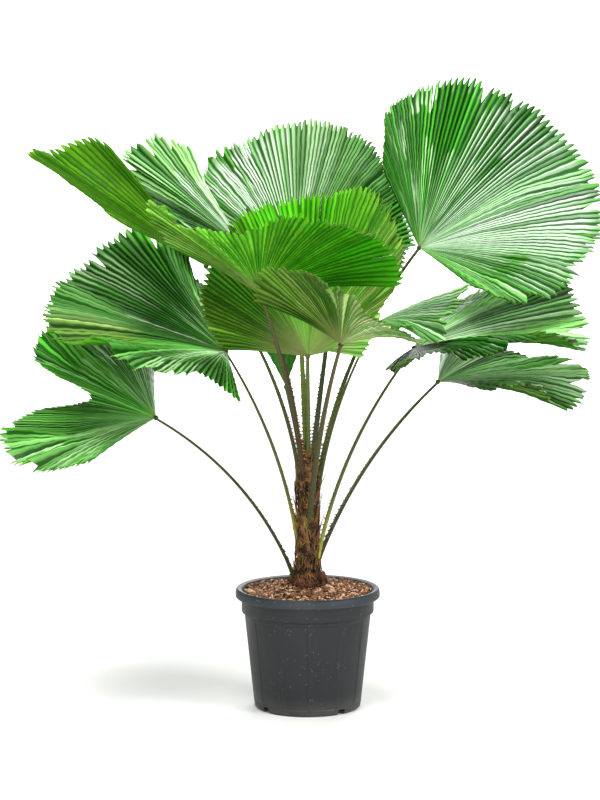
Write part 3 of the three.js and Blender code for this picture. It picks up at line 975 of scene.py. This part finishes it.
# The grid of a blade's middle surface: columns are ribs, rows run from hub to margin.
def bladeGrid(frond, draws):
    samples, rows, reach = leaf["samples"], leaf["rows"], frond["reach"]
    toothCount, ribs = ribVectors(frond)
    place = np.arange(len(ribs))
    share = np.linalg.norm(ribs, axis=1)
    direction = ribs / share[:, None]
    before, after = (np.clip(place + way * samples * 2, 0, place[-1]) for way in (-1, 1))
    fold = unit(np.cross(direction[before], direction[after]))

    # Teeth, nicks and splits cut the margin back.
    tooth, step = np.divmod(place, samples)
    cutDepth = frond.get("cut", leaf["cut"]) * draws.uniform(0.65, 1.35, toothCount + 2)
    slope = cutDepth[tooth] * toothCut[step]
    for _ in range(toothCount // leaf["nickEvery"]):
        cutDepth[draws.integers(3, toothCount - 2)] *= draws.uniform(1.6, 3.4)
    tipGain = draws.normal(0, 0.002, toothCount + 2)
    cut = np.where(step == 0, cutDepth[tooth], slope)
    splits = [(round(at * toothCount) * samples, depth) for at, depth in frond.get("splits", [])]
    for slot, depth in splits:
        cut = np.maximum(cut, depth * np.clip(1 - np.abs(place - slot) / leaf["splitWidth"], 0, 1))
    length = reach * share - cut * share + tipGain[tooth] * (step > 0)

    # Ribs bend down towards their ends, the level ones most.
    along = (np.arange(rows + 1) / rows) ** 0.92
    distance = leaf["hubGap"] + (length[:, None] - leaf["hubGap"]) * along[None]
    level = np.maximum(np.hypot(direction[:, 0], direction[:, 1]), 1e-3)[:, None]
    bend = math.radians(frond["droop"]) * level / reach
    down = (direction * direction[:, 2:] - np.array([0, 0, 1])) / level
    forth = np.sin(bend * distance) / bend
    fall = (1 - np.cos(bend * distance)) / bend
    grid = np.array(frond["hub"]) + direction[:, None] * forth[..., None]
    grid = grid + down[:, None] * fall[..., None]

    # Pleats, waves and ripples lift the points off that sheet.
    far = distance / reach
    toMargin = far / share[:, None]
    pleatDepth = leaf["pleat"] * draws.uniform(0.75, 1.25, toothCount + 2)
    lift = toothRise[step][:, None] * pleatDepth[tooth][:, None] * np.minimum(far * 1.25, 1.0)
    turn = place / samples
    for turns, size in leaf["waves"]:
        phase = draws.uniform(0, math.tau)
        lift += leaf["wave"] * size * np.sin(turn * turns + phase)[:, None] * far**2.2
    lean = draws.uniform(0, math.tau, toothCount + 2)[tooth] * 0.25
    ripples = distance / leaf["rippleLength"] * math.tau + lean[:, None] + turn[:, None] * 0.35
    lift += leaf["ripple"] * np.sin(ripples) * np.minimum(far * 2, 1)
    curl = draws.normal(0, 0.002, toothCount + 2)[tooth] * (step > 0)
    lift += curl[:, None] * np.clip(toMargin - 0.86, 0, 1) * 6
    for at, rise in frond.get("creases", []):      # the fan steps down in front of one rib
        off = place / place[-1] - at
        side = np.clip(off * toothCount / 0.8, -1, 1) * np.exp(-np.abs(off) / 0.06)
        lift -= rise * side[:, None] * far**1.3
    for slot, depth in splits:                     # lobes part at a split, one up and one down
        off = place - slot
        parted = np.sign(off) * np.exp(-np.abs(off) / (samples * 2.5))
        opened = np.clip((toMargin - 1) * reach / depth + 1, 0, 1.2)
        lift += leaf["splitRise"] * parted[:, None] * opened
    tipLift, bent = bentTips(frond, toothCount, tooth, turn, toMargin, draws)
    grid = grid + fold[:, None] * (lift + tipLift)[..., None]
    return grid, distance, length, turn, bent


# Leaf green: the tone of each rib, darkened and lightened pleat by pleat, partly as tone that differs
# at random and partly as painted shade and painted reflection of the sky. shine is near 1 on the upper
# skin, which mirrors the sky, and near 0 on the underside; it sets the real shine and how much
# painted light each skin takes.
def leafFinish(name, shine, ribAndHighlightColour, ribAndHighlightShare, veinShare, hubColour, hubReach):
    finish = Finish(name, Specular_IOR_Level=0.04 + 0.08 * shine, Coat_Roughness=0.2)
    place = finish.place()
    tooth, far, _ = finish.parts(finish.node("ShaderNodeUVMap", {"uv_map": "leaf"}))
    tone = finish.node("ShaderNodeVertexColor", {"layer_name": "tone"})
    toTip, gloss, bent = (
        finish.node("ShaderNodeAttribute", {"attribute_name": label}, out=2)
        for label in ("toTip", "gloss", "bent")
    )

    def fanNoise(across, along, layer, detail=2.0, roughness=0.5):
        return finish.noise(finish.join(across, far * along, layer), 1.0, detail, roughness)

    across = tooth.fraction()                            # 0 and 1 in the valleys, 0.5 on the ridge
    pleat = tooth - across
    fromFold = (across - 0.5).size() * 2
    ridge = 1 - fromFold.ease(0.0, 0.2)
    valley = fromFold.ease(0.40 - 0.08 * shine, 0.82 - 0.16 * shine)
    flank = across.ease(0.46, 0.58)
    veins = (tooth * (math.tau * 5)).sine() * 0.5 + 0.5
    streaks = fanNoise(tooth * 2.2, 3.0, 0.0, 4.0, 0.6)
    stripes = fanNoise(pleat * 0.47, 1.1, 5.0)
    broad = fanNoise(pleat * 0.43, 2.3, 3.0)
    fine = fanNoise(tooth * 4.0, 6.0, 7.0, 3.0, 0.6)
    shaded = fanNoise(pleat * 0.83, 0.6, 11.0, 2.0, 0.6).ease(0.50, 0.57)
    cloud = finish.noise(place, 7.0)
    # Stripes of darker and lighter tone over groups of pleats: tone that differs at random, and painted
    # shade and painted reflection where groups of pleats catch the sky together.
    shade = (stripes * 0.55 + streaks * 0.2 + cloud * 0.25).ease(0.41, 0.59)
    darker = finish.tint(tone, 0.30, 0.54, 0.22)
    colour = finish.mix(shade, darker, finish.tint(tone, 1.35, 1.2, 1.25))
    colour = finish.mix(veins * veinShare, colour, darker)
    unlit = (1 - flank) * (0.12 + 0.4 * shine)
    colour = finish.mix(unlit, colour, finish.tint(tone, 0.22, 0.46, 0.16))
    # Painted reflection of the sky: whitish patches on the lit flank, spread over both flanks where the
    # gloss is high. The same patches carry a real coat.
    coatAndPaintedSheen = (broad + fine * 0.2 + gloss * 0.5 + bent * 0.42).ease(0.98, 1.12)
    coatAndPaintedSheen = coatAndPaintedSheen * (toTip.ease(0.004, 0.045) * 0.8 + 0.2)
    paintedSheenSpread = gloss.ease(1.08, 1.4) * 0.4
    mirrored = finish.mix(gloss.ease(0.85, 1.2), paint(186, 232, 164), paint(240, 250, 240))
    colour = finish.mix(coatAndPaintedSheen * (0.08 + flank * 0.66 + paintedSheenSpread) * shine, colour, mirrored)
    shaded = shaded * (0.10 + 0.62 * shine)
    colour = finish.mix(shaded, colour, finish.tint(tone, 0.14, 0.34, 0.09))
    # Painted shade on bent tips that turn away from the light.
    paintedShadeTurnedAway = (0 - bent).ease(0.1, 0.8) * 0.62
    colour = finish.mix(paintedShadeTurnedAway, colour, finish.tint(tone, 0.50, 0.78, 0.34))
    # Painted shade in the pleat valleys.
    paintedValleyShade = valley * (0.72 + 0.22 * shine)
    colour = finish.mix(paintedValleyShade, colour, finish.tint(tone, 0.04, 0.15, 0.02))
    # A paler line along each ridge: the rib's own paler colour with a painted highlight.
    colour = finish.mix(ridge * ribAndHighlightShare, colour, ribAndHighlightColour)
    colour = finish.mix((1 - far.ease(0.0, hubReach)) * (0.5 - 0.3 * shine), colour, hubColour)
    worn = (1 - toTip.ease(0.0, 0.005)) * finish.noise(place, 70.0).ease(0.42, 0.6)
    colour = finish.mix(worn * 0.4, colour, paint(120, 96, 48))
    finish.set("Base Color", colour)
    finish.set("Roughness", 0.5 - 0.16 * shine + streaks * 0.14)
    finish.set("Coat Weight", coatAndPaintedSheen * (0.3 * shine))
    finish.bump(veins * 0.35 + streaks * 0.5 + finish.noise(place, 160.0) * 0.25, 0.0007, 0.7)
    return finish.material


leafUpper = leafFinish("leafUpper", 1.0, paint(140, 200, 100), 0.25, 0.25, paint(140, 176, 84), 0.16)
leafUnder = leafFinish("leafUnder", 0.12, paint(160, 206, 96), 0.3, 0.35, paint(150, 154, 96), 0.42)


def toneAlong(colours, share):
    stops = np.array([linear(*colour) for colour in colours])
    if len(stops) == 1:
        return np.repeat(stops, len(share), 0)
    at = np.linspace(0, 1, len(stops))
    return np.stack([np.interp(share, at, stops[:, k]) for k in range(3)], 1)


def makeBlade(frond, number):
    draws = np.random.default_rng(leaf["seed"] + number)
    grid, distance, length, turn, bent = bladeGrid(frond, draws)
    columns, width = grid.shape[0] - 1, grid.shape[1]
    rows = width - 1
    normal = unit(np.cross(np.gradient(grid, axis=1), np.gradient(grid, axis=0)))
    thin = np.full((width, 1), leaf["thickness"] / 2)
    thin[0] = leaf["thickness"] / 6
    points = np.stack([grid + normal * thin, grid - normal * thin]).reshape(-1, 3)

    # Corners a, a + 1 and so on are on the upper skin, and skin later come those of the under.
    skin = (columns + 1) * width
    a = (np.arange(columns)[:, None] * width + np.arange(rows)[None]).ravel()
    top = np.stack([a, a + 1, a + width + 1, a + width], 1)
    bottom = np.stack([a, a + width, a + width + 1, a + 1], 1) + skin
    hubSide = np.arange(columns) * width
    tipSide = hubSide + rows
    first = np.arange(rows)
    last = columns * width + first
    rims = [
        np.stack([hubSide, hubSide + width, skin + hubSide + width, skin + hubSide], 1),
        np.stack([tipSide, skin + tipSide, skin + tipSide + width, tipSide + width], 1),
        np.stack([first, skin + first, skin + first + 1, first + 1], 1),
        np.stack([last, last + 1, skin + last + 1, skin + last], 1),
    ]
    faces = np.concatenate([top, bottom, *rims])
    numbers = np.arange(len(faces)) >= len(top)
    piece = meshPiece("leaf_" + frond["name"], points, faces, [leafUpper, leafUnder], numbers, 38)

    # What the finishes read: place on the fan, way to the tip, gloss with its painted sheen, the bent
    # tips' painted light, and tone.
    mesh = piece.data
    share = np.linspace(0, 1, columns + 1)
    spread = np.stack([np.repeat(turn, width), (distance / frond["reach"]).ravel()], 1)
    leafMap = mesh.uv_layers.new(name="leaf")
    leafMap.data.foreach_set("uv", spread[faces.ravel() % skin].astype(np.float32).ravel())
    gloss = np.interp(share, np.linspace(0, 1, len(frond["gloss"])), frond["gloss"])
    layers = {"toTip": length[:, None] - distance, "gloss": np.repeat(gloss, width), "bent": bent}
    for label, values in layers.items():
        layer = mesh.attributes.new(label, "FLOAT", "POINT")
        layer.data.foreach_set("value", np.tile(values.ravel(), 2).astype(np.float32))
    upper, under = (toneAlong(frond[key], share)[:, None] for key in ("upper", "under"))
    if "tips" in frond:
        outer = np.clip((distance / length[:, None] - 0.45) * 5, 0, 1)[..., None]
        upper = upper + (toneAlong(frond["tips"], share)[:, None] - upper) * outer
    depth = np.exp(draws.normal(0, 0.3, int(turn[-1]) + 1))[turn.astype(int)][:, None, None]
    tones = [np.broadcast_to(t, grid.shape) for t in (upper * depth, under * depth**0.4)]
    addTones(mesh, np.clip(tones, 0, 1))
    settle(piece, "root", "blade_" + frond["name"])


# Petioles: channelled above, round below, with spines along both edges of the lower part
petiole = {
    "rootWidth": 0.0142,
    "hubWidth": 0.0088,
    "steps": 44,
    "sides": 16,
    "sheath": 0.55,                      # extra width at the root
    "sheathUpTo": 0.12,
    "knobRings": 7,                      # the knob is where the ribs meet the stalk
    "knobSides": 12,
    "knobSize": (0.0062, 0.0058, 0.0062),
    "spineGap": 0.0095,
    "spineFrom": 0.06,
    "spineUpTo": 0.62,
    "spineSize": (0.0032, 0.0088),       # half width of the foot, and length
    "seed": 300,
}


def stalkFinish():
    finish = Finish("stalkSkin", Specular_IOR_Level=0.2)
    place = finish.place()
    x, y, z = finish.parts(place)
    tone = finish.node("ShaderNodeVertexColor", {"layer_name": "tone"})
    streaks = finish.noise(finish.join(x * 900.0, y * 900.0, z * 40.0), 1.0, 3.0)
    spots = finish.noise(place, 120.0, 3.0)
    dark = finish.tint(tone, 0.30, 0.30, 0.26)
    colour = finish.mix(streaks.ease(0.3, 0.7), dark, finish.tint(tone, 0.60, 0.62, 0.44))
    finish.set("Base Color", finish.mix(spots.ease(0.62, 0.72) * 0.5, colour, paint(84, 58, 34)))
    finish.set("Roughness", 0.4 + spots * 0.2)
    finish.bump(streaks, 0.0003)
    return finish.material


stalkSkin = stalkFinish()
spineHorn = strandFinish("spineHorn", (30, 16, 8), (140, 92, 40), 0.45)


# The bowed middle line of a stalk, and at each point the ways ahead, aside and up.
def stalkFrame(frond, share):
    bearing, distance, height = frond["root"]
    root = heading(bearing, 0) * distance + np.array([0, 0, height])
    hub = np.array(frond["hub"])
    chord = hub - root
    size = np.linalg.norm(chord)
    along = chord / size
    lift = unit(np.array([0, 0, 1.0]) - along * along[2])
    middle = root + chord / 2 + lift * frond["bow"] * size
    t = share[:, None]
    centre = (1 - t) ** 2 * root + 2 * (1 - t) * t * middle + t**2 * hub
    tangent = unit(2 * (1 - t) * (middle - root) + 2 * t * (hub - middle))
    level = heading(bearing + 90, 0)
    side = unit(level - tangent * (tangent @ level)[:, None])
    return centre, tangent, side, np.cross(side, tangent), size


def knobPoints(hub):
    bend = np.linspace(0.02, math.pi - 0.02, petiole["knobRings"])[:, None]
    roll = np.arange(petiole["knobSides"]) / petiole["knobSides"] * math.tau
    ball = [np.sin(bend) * np.cos(roll), np.sin(bend) * np.sin(roll), np.cos(bend) + 0 * roll]
    return np.stack(ball, -1).reshape(-1, 3) * np.array(petiole["knobSize"]) + np.array(hub)


def makePetiole(frond, number):
    draws = np.random.default_rng(petiole["seed"] + number)
    steps, sides = petiole["steps"], petiole["sides"]
    share = np.linspace(0, 1, steps + 1)
    centre, _, side, top, size = stalkFrame(frond, share)
    half = (petiole["rootWidth"] + (petiole["hubWidth"] - petiole["rootWidth"]) * share) / 2
    half = half * (1 + petiole["sheath"] * np.clip(1 - share / petiole["sheathUpTo"], 0, 1) ** 2)
    turn = np.arange(sides) / sides * math.tau
    rise = np.sin(turn)
    channel = 0.42 * np.sqrt(np.abs(rise)) - 0.16 * rise**2
    section = half[:, None, None] * np.stack([np.cos(turn), np.where(rise < 0, rise * 0.95, channel)], 1)
    flip = 1.0 if top[-1, 2] > 0 else -1.0
    stalk = centre[:, None] + side[:, None] * section[..., :1] + flip * top[:, None] * section[..., 1:]
    # Painted light on the upper side, and darker edges: their own darker colour and painted shade.
    topLightAndEdgeShade = np.where(rise > 0.3, 1.25, 1.0) * (1 - 0.62 * np.abs(np.cos(turn)) ** 8)
    tones = toneAlong(frond["stalk"], np.repeat(share, sides))
    tones = tones * np.tile(topLightAndEdgeShade, steps + 1)[:, None]
    knob = knobPoints(frond["hub"])

    # Spines: four-sided points, hooked back towards the root
    count = int(size * petiole["spineUpTo"] / petiole["spineGap"])
    spots = np.linspace(petiole["spineFrom"], petiole["spineUpTo"], count)
    spots = spots + draws.normal(0, 0.004, count)
    middle, ahead, out, over, _ = stalkFrame(frond, np.clip(spots, 0, 1))
    thick = np.interp(spots, share, half)[:, None]
    spines = []
    for edge in (-1, 1):
        grow = draws.uniform(0.6, 1.15, count) * (1.15 - spots / petiole["spineUpTo"] * 0.7)
        wide, long = (measure * grow[:, None] for measure in petiole["spineSize"])
        foot = middle + out * edge * thick * 0.86
        tip = foot + (out * edge * 0.8 + over * flip * 0.6 - ahead * 0.4) * long
        flat = over * wide * 0.6
        corners = [foot + ahead * wide, foot + flat, foot - ahead * wide, foot - flat, tip]
        spines.append(np.stack(corners, 1))
    spines = np.concatenate(spines).reshape(-1, 3)
    pointed = [(0, 1, 4), (1, 2, 4), (2, 3, 4), (3, 0, 4), (0, 3, 2), (0, 2, 1)]
    spineFaces = repeated(pointed, count * 2, 5)

    stalk = stalk.reshape(-1, 3)
    faces = np.concatenate(
        [
            tubeFaces(steps + 1, sides),
            tubeFaces(petiole["knobRings"], petiole["knobSides"])[:, ::-1] + len(stalk),
            spineFaces + len(stalk) + len(knob),
        ]
    )
    numbers = np.arange(len(faces)) >= len(faces) - len(spineFaces)
    points = np.concatenate([stalk, knob, spines])
    name = "stalk_" + frond["name"]
    piece = meshPiece(name, points, faces, [stalkSkin, spineHorn], numbers, 55)
    addTones(
        piece.data,
        np.concatenate([tones, np.tile(tones[-1], (len(knob), 1)), np.zeros((len(spines), 3))]),
    )
    startEdit(piece, "SELECT")
    bpy.ops.mesh.normals_make_consistent(inside=False)
    bpy.ops.object.mode_set(mode="OBJECT")
    settle(piece, "root", "petiole_" + frond["name"])


for number, frond in enumerate(fronds):
    makeBlade(frond, number)
    makePetiole(frond, number)
    print("frond made:", frond["name"])


# Floor and light
studio = {
    "floorWidth": 90.0,
    "floorFront": -45.0,
    "wallFoot": 13.0,
    "bend": 3.0,
    "bendSteps": 16,
    "wallTop": 10.0,
    "paper": (240, 240, 238),
    "sky": 0.34,                         # strength of the white world
    "lamps": [                           # name, place, target, width and power
        ("overhead", (-0.6, -1.4, 3.9), (0.0, 0.0, 1.0), 1.8, 180.0),
        ("frontLeft", (-3.4, -4.4, 2.6), (0.0, 0.0, 0.9), 2.2, 60.0),
        ("right", (3.9, -2.6, 2.3), (0.0, 0.0, 0.9), 1.8, 170.0),
        ("back", (0.8, 3.6, 3.4), (0.0, 0.0, 1.0), 2.6, 150.0),
        ("low", (-0.4, -4.2, 0.35), (0.0, 0.0, 1.0), 1.6, 68.0),
        ("wall", (0.0, 8.6, 5.4), (0.0, 13.4, 0.6), 4.0, 1700.0),
    ],
}


# The floor is a sheet of paper that bends up into the wall behind.
def makeStage():
    bpy.ops.object.select_all(action="DESELECT")
    bpy.ops.mesh.primitive_plane_add(size=1, location=(0, 0, 0))
    floor = bpy.context.object
    floor.name = "floor"
    depth = studio["wallFoot"] - studio["floorFront"]
    floor.dimensions = (studio["floorWidth"], depth, 0)
    floor.location.y = (studio["wallFoot"] + studio["floorFront"]) / 2
    bpy.ops.object.transform_apply(location=True, rotation=True, scale=True)
    startEdit(floor)
    bpy.ops.mesh.select_mode(type="EDGE")
    foot = studio["wallFoot"]
    pick(floor, "edges", lambda edge: all(abs(v.co.y - foot) < 1e-4 for v in edge.verts))
    steps = studio["bendSteps"]
    for step in range(steps):
        low, high = (math.pi / 2 * k / steps for k in (step, step + 1))
        forth = studio["bend"] * (math.sin(high) - math.sin(low))
        rise = studio["bend"] * (math.cos(low) - math.cos(high))
        bpy.ops.mesh.extrude_region_move(TRANSFORM_OT_translate={"value": (0, forth, rise)})
    wall = {"value": (0, 0, studio["wallTop"] - studio["bend"])}
    bpy.ops.mesh.extrude_region_move(TRANSFORM_OT_translate=wall)
    bpy.ops.mesh.select_mode(type="FACE")
    bpy.ops.object.mode_set(mode="OBJECT")
    bpy.ops.object.shade_smooth_by_angle(angle=math.radians(30))
    finish = Finish("paper", Roughness=0.95, Specular_IOR_Level=0.1)
    finish.set("Base Color", paint(*studio["paper"]))
    floor.data.materials.append(finish.material)
    world = bpy.context.scene.world or bpy.data.worlds.new("world")
    bpy.context.scene.world = world
    world.use_nodes = True
    sky = world.node_tree.nodes["Background"]
    sky.inputs["Color"].default_value = (1, 1, 1, 1)
    sky.inputs["Strength"].default_value = studio["sky"]
    for name, place, target, size, power in studio["lamps"]:
        lampData = bpy.data.lights.new(name, "AREA")
        lampData.size = size
        lampData.energy = power
        lamp = bpy.data.objects.new(name, lampData)
        lamp.location = place
        aim = Vector(target) - Vector(place)
        lamp.rotation_euler = aim.to_track_quat("-Z", "Y").to_euler()
        bpy.context.scene.collection.objects.link(lamp)
    bpy.context.scene.view_settings.view_transform = "Standard"


makeStage()
print("stage made")
